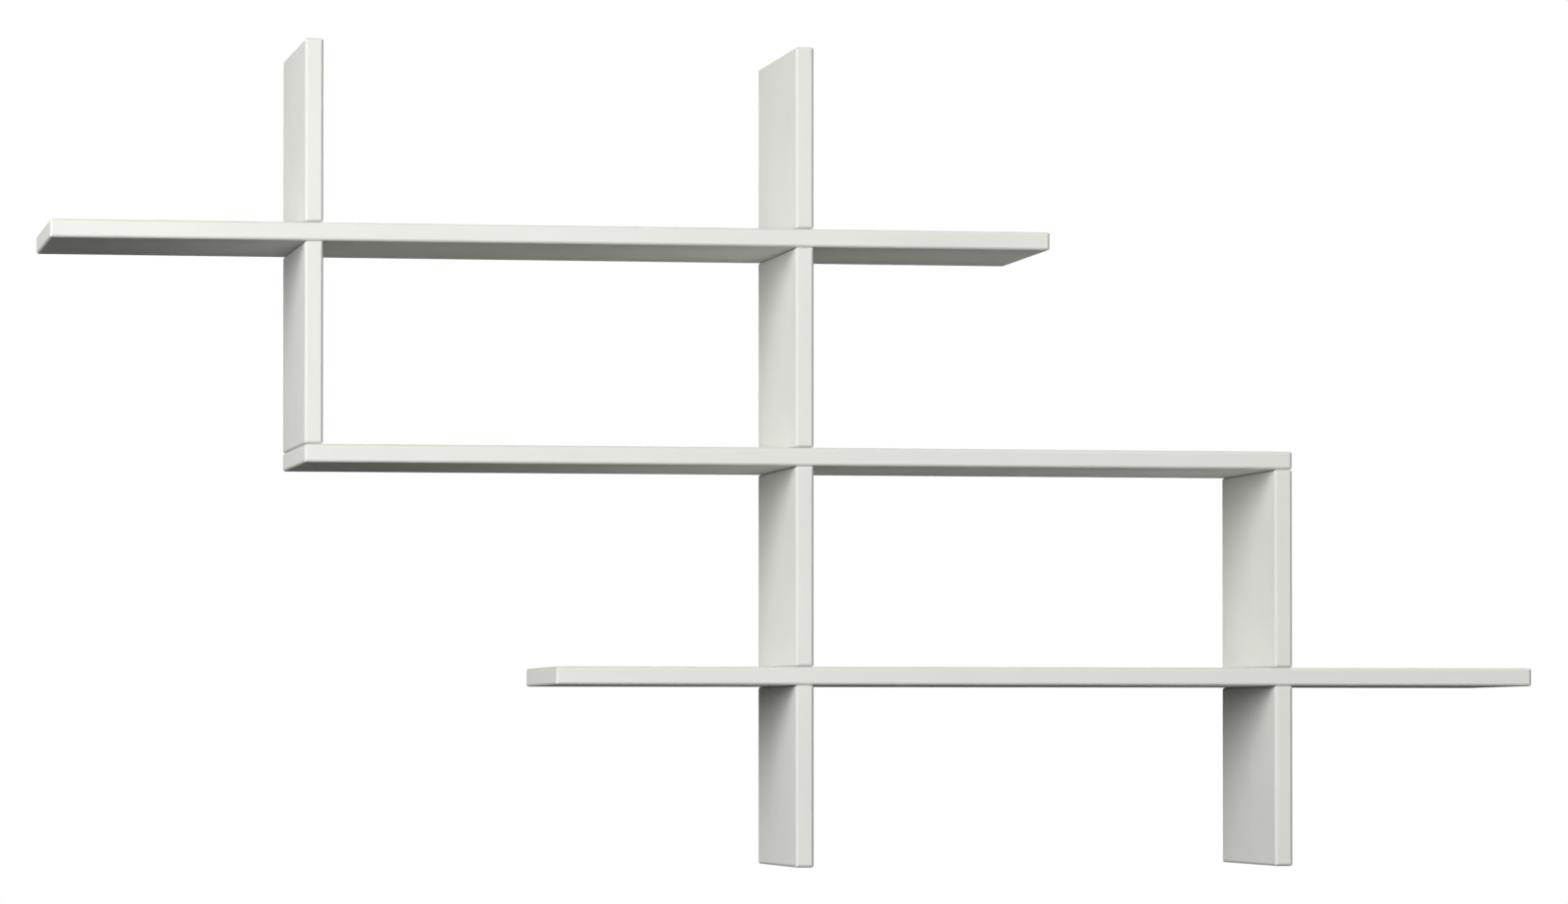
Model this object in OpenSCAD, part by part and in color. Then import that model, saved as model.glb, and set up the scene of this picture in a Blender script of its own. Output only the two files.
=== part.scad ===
// Lattice wall shelf: three staggered shelves joined by eight short uprights.
// X runs along the shelves, Y points into the wall and the wall is at Y = 0, Z is up.
// The origin is in the wall plane, at the middle of the middle shelf's rear edge.

/* [Boards] */
// Length of each of the three shelves
shelf_len = 980; // [700:10:1300]
// Depth of every board, from the wall to the front
board_depth = 220; // [180:5:300]
// Thickness of every board
board_t = 18; // [16:1:22]
// How far the top shelf is set to the left and the bottom shelf to the right
stagger = 245; // [120:5:300]
// Clear height between two shelves
bay_h = 196; // [150:2:300]
// Length of the uprights that stand free above the top shelf and below the bottom shelf
free_h = 178; // [120:2:260]

/* [Edging] */
// Thickness of the plastic edging on all four sides of every board
edging_t = 3; // [2:0.5:3]
// Radius of the edging's rounded corners
edging_r = 3; // [1:0.5:3]
// Width of the joint line where an end strip meets a front or rear strip
edging_joint = 0.05; // [0.05:0.05:0.2]

/* [Cams] */
// Diameter of the cam's bore in the upright
cam_bore_d = 15; // [15:0.5:18]
// Depth of the cam's bore past the axis of the bolt
cam_bore_past = 4.5; // [4.5:0.1:5]
// Distance from the end of the upright to the axis of the cam
cam_reach = 34; // [24:1:40]
// Distance from the front or rear edge to the nearer cam
cam_inset = 37; // [30:1:50]
// Gap between the cam and the wall and floor of its bore
cam_gap = 0.15; // [0.1:0.05:0.3]
// How far the cam's face lies under the surface of the board
cam_recess = 0.2; // [0.1:0.1:0.5]
// Diameter of the chamber inside the cam
chamber_d = 9.8; // [9.4:0.1:10.2]
// How far the chamber's centre is off the cam's axis, which draws the bolt in
cam_throw = 0.8; // [0.5:0.1:1]
// Angle from the cam's entry hole to the place where the ball is held
cam_turn = 165; // [120:5:180]
// Length of each of the two crossed slots for the screwdriver
drive_len = 7; // [5:0.5:9]
// Width of the screwdriver slots
drive_w = 1.6; // [1.2:0.1:2]
// Depth of the screwdriver slots
drive_depth = 2.6; // [2:0.1:3]

/* [Cam covers] */
// How far the plastic cover reaches past the cam's bore all round
cover_lip = 1.2; // [0.8:0.1:2.5]
// Thickness of the cover's disc
cover_t = 1.2; // [0.8:0.1:2]
// Width of the bevel round the cover's rim
cover_bevel_w = 0.6; // [0.2:0.1:1]
// Height of that bevel
cover_bevel_h = 0.4; // [0.2:0.1:0.6]
// Length of the cover's crossed peg, which sits in the screwdriver slots
cover_peg = 2; // [1:0.1:2]
// Gap on each side of the peg
cover_gap = 0.1; // [0.05:0.05:0.2]

/* [Bolts] */
// Diameter of the bolt's bore
bolt_bore_d = 8; // [7:0.5:9]
// Gap round the bolt in its bore
bolt_gap = 0.3; // [0.1:0.05:0.4]
// Diameter of the ball on the bolt's end
ball_d = 6.8; // [6.4:0.1:7]
// Diameter of the neck under the ball
neck_d = 4.4; // [4:0.1:4.8]
// Gap between the ball and the lips of the cam
ball_gap = 0.1; // [0.05:0.05:0.2]
// Room above and below the ball in the cam's chamber
ball_room = 0.2; // [0.1:0.05:0.3]
// Gap on each side of the neck in the cam's slit
neck_gap = 0.3; // [0.2:0.05:0.4]
// Distance from the shoulder of the shank to the cam's bore
shoulder_gap = 1; // [0.5:0.25:2]
// Size of the chamfer on the shoulder
shank_chamfer = 0.8; // [0.2:0.1:0.8]
// Diameter of the screw thread of a corner bolt
thread_d = 6.2; // [5.8:0.1:6.6]
// Length of the screw thread of a corner bolt
thread_len = 11; // [8:0.5:12]
// Length of the taper at the thread's end
thread_tip = 1; // [0.5:0.25:2]
// Gap round the screw thread
thread_gap = 0.05; // [0.05:0.05:0.1]

/* [Dowels] */
// Diameter of the dowel's bore
dowel_bore_d = 8; // [6:1:10]
// Gap round the dowel in its bore
dowel_gap = 0.1; // [0.05:0.05:0.2]
// Distance from the front or rear edge to the nearer dowel
dowel_inset = 69; // [62:1:78]
// Length of a through dowel inside each upright
through_reach = 16; // [12:1:24]
// Length of a corner dowel inside the upright
corner_reach = 19; // [12:1:24]
// Length of a corner dowel inside the shelf
shelf_reach = 11; // [8:0.5:12]
// Length of the chamfer on the dowel's ends
dowel_chamfer = 1; // [0.5:0.25:2]

/* [Wall brackets] */
// Width of the steel strip
bracket_w = 16; // [14:1:24]
// Thickness of the steel strip
bracket_t = 2; // [1.5:0.5:3]
// Height of the leg on the wall
wall_leg = 25; // [22:1:40]
// Length of the leg on the shelf
shelf_leg = 25; // [24:1:40]
// Inside radius of the bend
bend_r = 2; // [1:0.5:3]
// Radius of the corners of both legs
leg_corner_r = 4; // [1:0.5:6]
// Gap between the bracket and the upright beside it
bracket_gap = 2; // [1:0.5:8]
// Diameter of the hole for the wall screw
wall_hole_d = 5; // [4:0.5:6]
// Height of the wall screw's hole above the shelf
wall_hole_z = 15; // [12:1:17]
// Distance of the shelf screw from the wall
screw_y = 15; // [12:1:18]

/* [Bracket screws] */
// Diameter of the shelf screw
screw_d = 3.4; // [3:0.1:4]
// Length of the shelf screw under its head
screw_len = 15; // [12:1:16]
// Diameter of the screw's head
screw_head_d = 7; // [6:0.5:8]
// Height of the screw's head
screw_head_h = 2.2; // [1.8:0.1:3]
// Width of the sloping rim round the top of the head
screw_head_slope = 1; // [0.5:0.1:1.2]
// Length of the point
screw_point = 3.4; // [2:0.2:5]
// Diameter of the blunt end of the point
screw_end_d = 0.4; // [0.2:0.1:1]
// Length of each of the two crossed slots in the head
screw_slot_len = 3.8; // [3:0.2:4]
// Width of the slots in the head
screw_slot_w = 0.9; // [0.7:0.1:1.2]
// Depth of the slots in the head
screw_slot_depth = 1.1; // [0.8:0.1:1.5]
// Gap round the screw in the board
screw_gap = 0.05; // [0.05:0.05:0.1]
// Gap round the screw in the bracket
bracket_screw_gap = 0.3; // [0.1:0.1:0.5]

/* [Hidden] */
$fn = 48;
white_board = [0.94, 0.94, 0.92];
white_edging = [0.96, 0.96, 0.94];
white_cover = [0.97, 0.97, 0.96];
zinc = [0.67, 0.68, 0.70];
beech = [0.80, 0.66, 0.46];

// Distance between neighbouring shelves and between neighbouring uprights, middle to middle
rise = bay_h + board_t;
pitch = (shelf_len - board_t) / 2;
bay_z = rise / 2;
free_z = rise + (board_t + free_h) / 2;

// Each joint is named by its column (-1 left, 0 middle, 1 right) and its level (-1 bottom, 0 middle, 1 top)
crossings = [[-1, 1], [0, 1], [0, 0], [0, -1], [1, -1]];
// A corner has one upright only: above the shelf (1) or below it (-1)
corners = [[-1, 0, 1], [1, 0, -1]];
bracket_places = [[-1, 1], [0, 1], [-1, 0], [0, 0], [0, -1], [1, -1]];
upright_ends = concat([for (j = crossings, side = [-1, 1]) [j[0], j[1], side]], corners);

cam_rows = [-cam_inset, cam_inset - board_depth];
dowel_rows = [-dowel_inset, dowel_inset - board_depth];
// Extra depth of a blind bore past the piece in it
bore_spare = 0.5;
cut = 1;

corner_r = min(edging_r, edging_t);
cam_d = cam_bore_d - 2 * cam_gap;
cam_top = board_t / 2 - cam_recess;
chamber_h = ball_d + 2 * ball_room;
entry_d = ball_d + 2 * ball_gap;
slit_w = neck_d + 2 * neck_gap;
// The slit runs on past the neck until it clears the ball, and this many degrees further
slit_margin = 8;
slit_spare = asin(ball_d / chamber_d) + slit_margin;
// The ball rests on the two lips beside the slit
ball_seat = chamber_d / 2 - cam_throw - ball_gap - sqrt(pow(ball_d / 2, 2) - pow(slit_w / 2, 2));
ball_z = cam_reach - ball_seat;
shank_d = bolt_bore_d - 2 * bolt_gap;
shank_z = cam_reach - cam_bore_d / 2 - shoulder_gap;
thread_bore_d = thread_d + 2 * thread_gap;
dowel_d = dowel_bore_d - 2 * dowel_gap;
dowel_bore_z = max(through_reach, corner_reach) + bore_spare;
cover_d = cam_bore_d + 2 * cover_lip;
bracket_x = (board_t + bracket_w) / 2 + bracket_gap;

// Rectangle with rounded corners, centred
module rounded_rect(w, h, r) {
    square([w - 2 * r, h], center = true);
    square([w, h - 2 * r], center = true);
    for (sx = [-1, 1], sy = [-1, 1])
        translate([sx * (w / 2 - r), sy * (h / 2 - r)])
            circle(r = r);
}

// Block with all twelve edges rounded, centred
module rounded_block(size, r) {
    intersection() {
        linear_extrude(size.z, center = true)
            rounded_rect(size.x, size.y, r);
        rotate([90, 0, 0])
            linear_extrude(size.y, center = true)
                rounded_rect(size.x, size.z, r);
        rotate([90, 0, 90])
            linear_extrude(size.x, center = true)
                rounded_rect(size.y, size.z, r);
    }
}

// Four strips of edging round a board that is long in X or in Z: the front and rear strips cover the ends
module edging(size, long) {
    across = [1, 1, 1] - long;
    end_len = size.y - 2 * (edging_t + edging_joint);
    end_strip = edging_t * long + [across.x * (size.x + cut), end_len, across.z * (size.z + cut)];
    end_place = (long * size - edging_t) / 2 * long;
    for (side = [-1, 1]) {
        intersection() {
            rounded_block(size, corner_r);
            translate([0, side * (size.y - edging_t) / 2, 0])
                cube([size.x + cut, edging_t, size.z + cut], center = true);
        }
        intersection() {
            rounded_block(size, corner_r);
            translate(side * end_place)
                cube(end_strip, center = true);
        }
    }
}

module at_rows(rows) {
    for (y = rows)
        translate([0, y, 0])
            children();
}

// Places its children on the end face of an upright, with Z pointing into the upright
module at_end(column, level, side) {
    translate([column * pitch, 0, level * rise + side * board_t / 2])
        mirror([0, 0, side < 0 ? 1 : 0])
            children();
}

module at_crossings() {
    for (j = crossings)
        translate([j[0] * pitch, 0, j[1] * rise])
            children();
}

module at_brackets(level) {
    for (b = bracket_places)
        if (b[1] == level)
            translate([b[0] * pitch + bracket_x, 0, level * rise + board_t / 2])
                children();
}

// Turns a cam or a cover from its own axis Z to the axis X of its bore.
// All cams are alike: those at an upper end are turned over and not mirrored.
module at_cams() {
    for (e = upright_ends, y = cam_rows)
        translate([e[0] * pitch, y, e[1] * rise + e[2] * (board_t / 2 + cam_reach)])
            rotate([e[2] < 0 ? 180 : 0, 0, 0])
                rotate([90, 0, 90])
                    children();
}

// Bores in the end of an upright, with Z pointing into the upright
module end_bores() {
    at_rows(cam_rows) {
        translate([0, 0, -cut])
            cylinder(d = bolt_bore_d, h = cam_reach + cut);
        translate([-cam_bore_past, 0, cam_reach])
            rotate([0, 90, 0])
                cylinder(d = cam_bore_d, h = cam_bore_past + board_t / 2 + cut);
    }
    at_rows(dowel_rows)
        translate([0, 0, -cut])
            cylinder(d = dowel_bore_d, h = dowel_bore_z + cut);
}

// Holes through a shelf where one upright stands over another
module crossing_bores() {
    at_rows(cam_rows)
        cylinder(d = bolt_bore_d, h = board_t + 2 * cut, center = true);
    at_rows(dowel_rows)
        cylinder(d = dowel_bore_d, h = board_t + 2 * cut, center = true);
}

// Blind bores in the face of a shelf that has an upright on one side only, with Z pointing out of the shelf
module corner_bores() {
    at_rows(cam_rows)
        translate([0, 0, -thread_len - bore_spare])
            cylinder(d = thread_bore_d, h = thread_len + bore_spare + cut);
    at_rows(dowel_rows)
        translate([0, 0, -shelf_reach - bore_spare])
            cylinder(d = dowel_bore_d, h = shelf_reach + bore_spare + cut);
}

module shelf_board(level) {
    difference() {
        translate([-level * stagger, -board_depth / 2, level * rise])
            cube([shelf_len - 2 * edging_t, board_depth - 2 * edging_t, board_t], center = true);
        for (j = crossings)
            if (j[1] == level)
                translate([j[0] * pitch, 0, level * rise])
                    crossing_bores();
        for (c = corners)
            if (c[1] == level)
                at_end(c[0], level, c[2])
                    corner_bores();
        at_brackets(level)
            translate([0, -screw_y, bracket_t - screw_len - bore_spare])
                cylinder(d = screw_d + 2 * screw_gap, h = screw_len);
    }
}

module shelf_edging(level) {
    translate([-level * stagger, -board_depth / 2, level * rise])
        edging([shelf_len, board_depth, board_t], [1, 0, 0]);
}

// Bores at the ends of an upright that are joined to a shelf: -1 is the lower end, 1 the upper
module upright_bores(column, z, len, joined) {
    for (side = joined)
        translate([column * pitch, 0, z + side * len / 2])
            mirror([0, 0, side > 0 ? 1 : 0])
                end_bores();
}

module upright_board(column, z, len, joined) {
    difference() {
        translate([column * pitch, -board_depth / 2, z])
            cube([board_t, board_depth - 2 * edging_t, len - 2 * edging_t], center = true);
        upright_bores(column, z, len, joined);
    }
}

module upright_edging(column, z, len, joined) {
    difference() {
        translate([column * pitch, -board_depth / 2, z])
            edging([board_t, board_depth, len], [0, 0, 1]);
        upright_bores(column, z, len, joined);
    }
}

module top_shelf() { color(white_board) shelf_board(1); }
module middle_shelf() { color(white_board) shelf_board(0); }
module bottom_shelf() { color(white_board) shelf_board(-1); }

module left_top_upright() { color(white_board) upright_board(-1, free_z, free_h, [-1]); }
module left_upper_upright() { color(white_board) upright_board(-1, bay_z, bay_h, [-1, 1]); }
module middle_top_upright() { color(white_board) upright_board(0, free_z, free_h, [-1]); }
module middle_upper_upright() { color(white_board) upright_board(0, bay_z, bay_h, [-1, 1]); }
module middle_lower_upright() { color(white_board) upright_board(0, -bay_z, bay_h, [-1, 1]); }
module middle_bottom_upright() { color(white_board) upright_board(0, -free_z, free_h, [1]); }
module right_lower_upright() { color(white_board) upright_board(1, -bay_z, bay_h, [-1, 1]); }
module right_bottom_upright() { color(white_board) upright_board(1, -free_z, free_h, [1]); }

module top_shelf_edging() { color(white_edging) shelf_edging(1); }
module middle_shelf_edging() { color(white_edging) shelf_edging(0); }
module bottom_shelf_edging() { color(white_edging) shelf_edging(-1); }

module left_top_edging() { color(white_edging) upright_edging(-1, free_z, free_h, [-1]); }
module left_upper_edging() { color(white_edging) upright_edging(-1, bay_z, bay_h, [-1, 1]); }
module middle_top_edging() { color(white_edging) upright_edging(0, free_z, free_h, [-1]); }
module middle_upper_edging() { color(white_edging) upright_edging(0, bay_z, bay_h, [-1, 1]); }
module middle_lower_edging() { color(white_edging) upright_edging(0, -bay_z, bay_h, [-1, 1]); }
module middle_bottom_edging() { color(white_edging) upright_edging(0, -free_z, free_h, [1]); }
module right_lower_edging() { color(white_edging) upright_edging(1, -bay_z, bay_h, [-1, 1]); }
module right_bottom_edging() { color(white_edging) upright_edging(1, -free_z, free_h, [1]); }

module crossed_slots(len, w, h) {
    for (turn = [0, 90])
        rotate([0, 0, turn])
            translate([-len / 2, -w / 2, 0])
                cube([len, w, h]);
}

// Cam with its axis on Z and the bolt coming in along Y from below, turned home.
// The off-centre chamber is the spiral that draws the ball in, and the slit lets the neck pass.
module cam_lock() {
    difference() {
        translate([0, 0, cam_gap - cam_bore_past])
            cylinder(d = cam_d, h = cam_bore_past - cam_gap + cam_top);
        translate([0, cam_throw, 0])
            cylinder(d = chamber_d, h = chamber_h, center = true);
        rotate([0, 90, cam_turn - 90])
            cylinder(d = entry_d, h = cam_d);
        rotate([0, 0, -90 - slit_spare])
            rotate_extrude(angle = cam_turn + slit_spare)
                translate([chamber_d / 4, -slit_w / 2])
                    square([cam_d / 2, slit_w]);
        translate([0, 0, cam_top - drive_depth])
            crossed_slots(drive_len, drive_w, drive_depth + cut);
    }
}

module cam_locks() { color(zinc) at_cams() cam_lock(); }

module cam_cover() {
    translate([0, 0, board_t / 2]) {
        cylinder(d = cover_d, h = cover_t - cover_bevel_h);
        translate([0, 0, cover_t - cover_bevel_h])
            cylinder(d1 = cover_d, d2 = cover_d - 2 * cover_bevel_w, h = cover_bevel_h);
    }
    translate([0, 0, board_t / 2 - cover_peg])
        crossed_slots(drive_len - 2 * cover_gap, drive_w - 2 * cover_gap, cover_peg + cover_t / 2);
}

module cam_covers() { color(white_cover) at_cams() cam_cover(); }

// Shank, neck and ball of a bolt, from the end of the upright up into the cam
module bolt_end() {
    cylinder(d = shank_d, h = shank_z - shank_chamfer);
    translate([0, 0, shank_z - shank_chamfer])
        cylinder(d1 = shank_d, d2 = shank_d - 2 * shank_chamfer, h = shank_chamfer);
    cylinder(d = neck_d, h = ball_z);
    translate([0, 0, ball_z])
        sphere(d = ball_d);
}

module through_bolts() {
    color(zinc)
        at_crossings()
            at_rows(cam_rows) {
                cylinder(d = shank_d, h = board_t, center = true);
                for (side = [0, 1])
                    mirror([0, 0, side])
                        translate([0, 0, board_t / 2])
                            bolt_end();
            }
}

module corner_bolts() {
    color(zinc)
        for (c = corners)
            at_end(c[0], c[1], c[2])
                at_rows(cam_rows) {
                    bolt_end();
                    translate([0, 0, thread_tip - thread_len])
                        cylinder(d = thread_d, h = thread_len);
                    translate([0, 0, -thread_len])
                        cylinder(d1 = thread_d - 2 * thread_tip, d2 = thread_d, h = thread_tip);
                }
}

// Dowel with chamfered ends, from z = 0 up
module dowel(len) {
    tip_d = dowel_d - 2 * dowel_chamfer;
    cylinder(d1 = tip_d, d2 = dowel_d, h = dowel_chamfer);
    translate([0, 0, dowel_chamfer])
        cylinder(d = dowel_d, h = len - 2 * dowel_chamfer);
    translate([0, 0, len - dowel_chamfer])
        cylinder(d1 = dowel_d, d2 = tip_d, h = dowel_chamfer);
}

module through_dowels() {
    color(beech)
        at_crossings()
            at_rows(dowel_rows)
                translate([0, 0, -board_t / 2 - through_reach])
                    dowel(board_t + 2 * through_reach);
}

module corner_dowels() {
    color(beech)
        for (c = corners)
            at_end(c[0], c[1], c[2])
                at_rows(dowel_rows)
                    translate([0, 0, -shelf_reach])
                        dowel(shelf_reach + corner_reach);
}

// Side view of the bent strip: the corner of the bend is at the origin, legs along X and Y
module bent_strip(leg_x, leg_y) {
    outer_r = bend_r + bracket_t;
    translate([outer_r, 0])
        square([leg_x - outer_r, bracket_t]);
    translate([0, outer_r])
        square([bracket_t, leg_y - outer_r]);
    intersection() {
        translate([outer_r, outer_r])
            difference() {
                circle(r = outer_r);
                circle(r = bend_r);
            }
        square(outer_r);
    }
}

// Angle bracket: one leg flat on the shelf, the other against the wall
module wall_bracket() {
    difference() {
        intersection() {
            rotate([90, 0, -90])
                linear_extrude(bracket_w, center = true)
                    bent_strip(shelf_leg, wall_leg);
            linear_extrude(wall_leg)
                rounded_rect(bracket_w, 2 * shelf_leg, leg_corner_r);
            rotate([90, 0, 0])
                linear_extrude(shelf_leg)
                    rounded_rect(bracket_w, 2 * wall_leg, leg_corner_r);
        }
        translate([0, cut, wall_hole_z])
            rotate([90, 0, 0])
                cylinder(d = wall_hole_d, h = bracket_t + 2 * cut);
        translate([0, -screw_y, -cut])
            cylinder(d = screw_d + 2 * bracket_screw_gap, h = bracket_t + 2 * cut);
    }
}

module wall_brackets() {
    color(zinc)
        for (level = [-1, 0, 1])
            at_brackets(level)
                wall_bracket();
}

// Pan-head screw with its point down: z = 0 is the shelf's surface
module bracket_screw() {
    rim_h = screw_head_h / 2;
    translate([0, 0, bracket_t]) {
        difference() {
            union() {
                cylinder(d = screw_head_d, h = rim_h);
                translate([0, 0, rim_h])
                    cylinder(d1 = screw_head_d, d2 = screw_head_d - 2 * screw_head_slope, h = rim_h);
            }
            translate([0, 0, screw_head_h - screw_slot_depth])
                crossed_slots(screw_slot_len, screw_slot_w, screw_slot_depth + cut);
        }
        translate([0, 0, screw_point - screw_len])
            cylinder(d = screw_d, h = screw_len - screw_point);
        translate([0, 0, -screw_len])
            cylinder(d1 = screw_end_d, d2 = screw_d, h = screw_point);
    }
}

module bracket_screws() {
    color(zinc)
        for (level = [-1, 0, 1])
            at_brackets(level)
                translate([0, -screw_y, 0])
                    bracket_screw();
}

top_shelf();
middle_shelf();
bottom_shelf();
left_top_upright();
left_upper_upright();
middle_top_upright();
middle_upper_upright();
middle_lower_upright();
middle_bottom_upright();
right_lower_upright();
right_bottom_upright();
top_shelf_edging();
middle_shelf_edging();
bottom_shelf_edging();
left_top_edging();
left_upper_edging();
middle_top_edging();
middle_upper_edging();
middle_lower_edging();
middle_bottom_edging();
right_lower_edging();
right_bottom_edging();
cam_locks();
cam_covers();
through_bolts();
corner_bolts();
through_dowels();
corner_dowels();
wall_brackets();
bracket_screws();
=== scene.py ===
import math

import bpy
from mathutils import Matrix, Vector


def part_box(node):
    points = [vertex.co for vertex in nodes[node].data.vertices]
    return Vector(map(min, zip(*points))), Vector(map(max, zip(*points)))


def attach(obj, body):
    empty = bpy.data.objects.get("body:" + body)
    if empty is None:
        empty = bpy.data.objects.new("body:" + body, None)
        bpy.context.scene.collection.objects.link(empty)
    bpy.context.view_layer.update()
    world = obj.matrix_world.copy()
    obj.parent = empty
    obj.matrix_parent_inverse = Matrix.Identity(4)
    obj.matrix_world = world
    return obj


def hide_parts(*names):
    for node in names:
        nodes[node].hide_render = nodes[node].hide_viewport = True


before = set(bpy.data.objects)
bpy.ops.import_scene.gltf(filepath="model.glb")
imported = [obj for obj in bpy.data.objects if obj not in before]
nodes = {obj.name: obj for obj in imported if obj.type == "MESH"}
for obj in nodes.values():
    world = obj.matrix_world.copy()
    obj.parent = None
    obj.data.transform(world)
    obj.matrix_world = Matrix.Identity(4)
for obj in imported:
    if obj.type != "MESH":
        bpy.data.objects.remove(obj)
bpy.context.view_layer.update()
print("frame loaded,", len(nodes), "nodes")

mm = 0.001


# Places, read off the frame: X along the shelves, Y into the wall, Z up

def middle(name):
    low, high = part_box(name)
    return (low + high) / 2


rise = middle("top_shelf").z - middle("middle_shelf").z
pitch = middle("right_lower_upright").x
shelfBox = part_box("middle_shelf_edging")
boardHalf = (shelfBox[1].z - shelfBox[0].z) / 2

# column, level, and for an upright's end the side of the shelf it is on
crossings = [(-1, 1), (0, 1), (0, 0), (0, -1), (1, -1)]
corners = [(-1, 0, 1), (1, 0, -1)]
uprightEnds = [(column, level, side) for column, level in crossings for side in (-1, 1)] + corners
bracketPlaces = [(-1, 1), (0, 1), (-1, 0), (0, 0), (0, -1), (1, -1)]


# Small helpers

def hexToLinear(hexCode):
    # sRGB hex to the linear colour that the shaders use
    channels = [int(hexCode[i:i + 2], 16) / 255 for i in (0, 2, 4)]
    linear = [c / 12.92 if c <= 0.04045 else ((c + 0.055) / 1.055) ** 2.4 for c in channels]
    return (*linear, 1.0)


def addNode(tree, kind, settings=None, inputs=None):
    # one node, with its settings, and its inputs as values or as links from other nodes' sockets
    node = tree.nodes.new(kind)
    for name, value in (settings or {}).items():
        setattr(node, name, value)
    for key, value in (inputs or {}).items():
        sources = value if isinstance(value, list) else [value]
        for source in sources:
            if isinstance(source, bpy.types.NodeSocket):
                tree.links.new(source, node.inputs[key])
            else:
                node.inputs[key].default_value = source
    return node


def addObject(name, data):
    thing = bpy.data.objects.new(name, data)
    bpy.context.scene.collection.objects.link(thing)
    return thing


def newMaterial(name):
    material = bpy.data.materials.new(name)
    material.use_nodes = True
    material.node_tree.nodes.clear()
    return material, material.node_tree


def finishMaterial(tree, shader):
    addNode(tree, "ShaderNodeOutputMaterial", inputs={"Surface": shader.outputs[0]})


# Finishes

melamine = {
    "white": "E5E6E0",          # decor paper under the melamine
    "shade": "E0E1DB",          # its slightly darker clouds
    "cloud": 90 * mm,           # size of a cloud
    "pearl": 1.4 * mm,          # grain of the press plate: 0.4 mm on the real board, drawn coarser to show
    "pearlHeight": 0.14 * mm,
    "bump": 0.8,
    "roughness": 0.85,
    "ior": 1.5,
    "squareOn": 0.9,            # how squarely a surface looks along its axis to count as a pressed face
    "chip": "B08A5C",           # particleboard core
    "chipDark": "7D5B38",
    "chipSize": 1.6 * mm,
}
cloudEdges = {"shade": 0.3, "white": 0.7}       # where the noise has turned fully into each white


def cloudedWhite(tree, place, finish):
    # the finish's two whites in soft clouds, as decor paper and extruded plastic have
    cloud = addNode(tree, "ShaderNodeTexNoise", inputs={
        "Vector": place, "Scale": 1 / finish["cloud"], "Detail": 3.0, "Roughness": 0.5})
    colours = addNode(tree, "ShaderNodeValToRGB", inputs={"Fac": cloud.outputs["Fac"]})
    for stop, (tone, position) in zip(colours.color_ramp.elements, cloudEdges.items()):
        stop.position = position
        stop.color = hexToLinear(finish[tone])
    return colours.outputs["Color"]


def melamineBoard(name, faceAxis):
    # Melamine-faced particleboard, pressed on a pearl plate: an even, matt white with a faint orange peel.
    # Where a surface doesn't face along faceAxis it is a cut or a bore, and shows the core's brown chips.
    material, tree = newMaterial(name)
    place = addNode(tree, "ShaderNodeTexCoord").outputs["Object"]
    white = cloudedWhite(tree, place, melamine)
    chips = addNode(tree, "ShaderNodeTexVoronoi", inputs={
        "Vector": place, "Scale": 1 / melamine["chipSize"]})
    core = addNode(tree, "ShaderNodeValToRGB", inputs={"Fac": chips.outputs["Distance"]})
    core.color_ramp.elements[0].color = hexToLinear(melamine["chip"])
    core.color_ramp.elements[1].color = hexToLinear(melamine["chipDark"])
    normal = addNode(tree, "ShaderNodeNewGeometry").outputs["True Normal"]
    facing = addNode(tree, "ShaderNodeSeparateXYZ", inputs={"Vector": normal})
    along = addNode(tree, "ShaderNodeMath", {"operation": "ABSOLUTE"}, {0: facing.outputs[faceAxis]})
    isFace = addNode(tree, "ShaderNodeMath", {"operation": "GREATER_THAN"}, {
        0: along.outputs[0], 1: melamine["squareOn"]})
    colour = addNode(tree, "ShaderNodeMix", {"data_type": "RGBA"}, {
        "Factor": isFace.outputs[0], "A": core.outputs["Color"], "B": white})
    grain = addNode(tree, "ShaderNodeTexNoise", inputs={
        "Vector": place, "Scale": 1 / melamine["pearl"], "Detail": 2.0})
    bump = addNode(tree, "ShaderNodeBump", inputs={
        "Height": grain.outputs["Fac"], "Distance": melamine["pearlHeight"], "Strength": melamine["bump"]})
    shader = addNode(tree, "ShaderNodeBsdfPrincipled", inputs={
        "Base Color": colour.outputs["Result"], "Roughness": melamine["roughness"], "IOR": melamine["ior"],
        "Normal": bump.outputs["Normal"]})
    finishMaterial(tree, shader)
    return material


edgeBand = {
    "white": "E7E8E2",
    "shade": "E2E3DD",
    "arrisShade": "D9DAD4",         # painted shade on the rounded arrises, which dims their highlights
    "arrisShadeFrom": 0.92,         # cosine of the lean from a flat at which an arris has the painted shade in full
    "cloud": 140 * mm,
    "roughness": 0.8,
    "ior": 1.5,
    "scrape": 0.5 * mm,         # spacing of the marks that the scraper leaves across the edging
    "scrapeHeight": 0.004 * mm,
    "bump": 0.5,
}


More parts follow.
